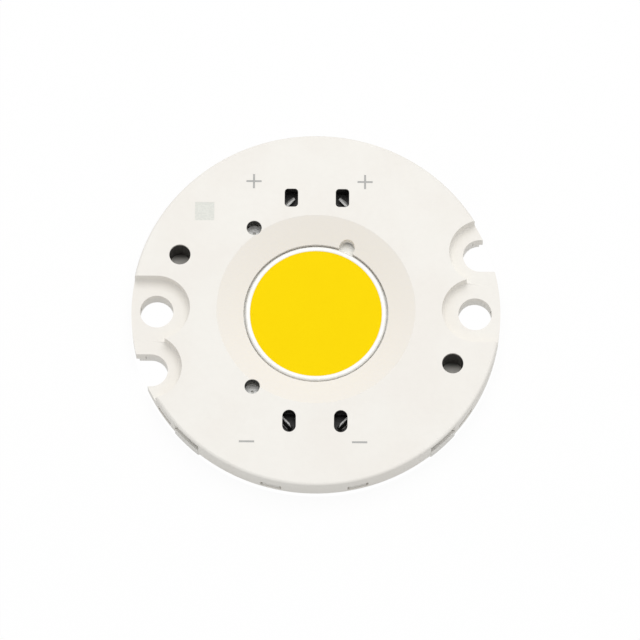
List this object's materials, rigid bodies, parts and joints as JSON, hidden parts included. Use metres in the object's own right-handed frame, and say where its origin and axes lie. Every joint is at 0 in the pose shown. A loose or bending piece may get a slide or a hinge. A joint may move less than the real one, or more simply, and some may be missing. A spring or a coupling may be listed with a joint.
{
  "type": "cob led",
  "caption": "Round chip-on-board LED light source in a white two-part housing with poke-in wire contacts and screw seats.",
  "frame": {"origin": "centre of the thermal face on the underside", "axes": "+Z out of the light-emitting side, +X through one of the two screw holes, +Y towards the positive contact"},
  "size_m": [0.0364, 0.0364, 0.0034],
  "materials": {
    "white_moulding": "fine matt",
    "frame_moulding": "fine matt",
    "plate_aluminium": "brushed",
    "insulator": "smooth",
    "copper_track": "gold flashed",
    "mask_white": "satin",
    "chip": "polished",
    "bond_gold": "bright",
    "dam_silicone": "satin",
    "phosphor": "satin",
    "contact_metal": "tinned"
  },
  "bodies": {
    "root": {"base_plate": "plate_aluminium", "insulator_layer": "insulator", "track_positive": "copper_track", "track_negative": "copper_track", "white_mask": "mask_white", "led_chips": "chip", "bond_wires": "bond_gold", "dam_ring": "dam_silicone", "phosphor_fill": "phosphor", "contact_positive": "contact_metal", "contact_negative": "contact_metal", "bottom_frame": "frame_moulding", "top_cover": "white_moulding"}
  },
  "joints": []
}
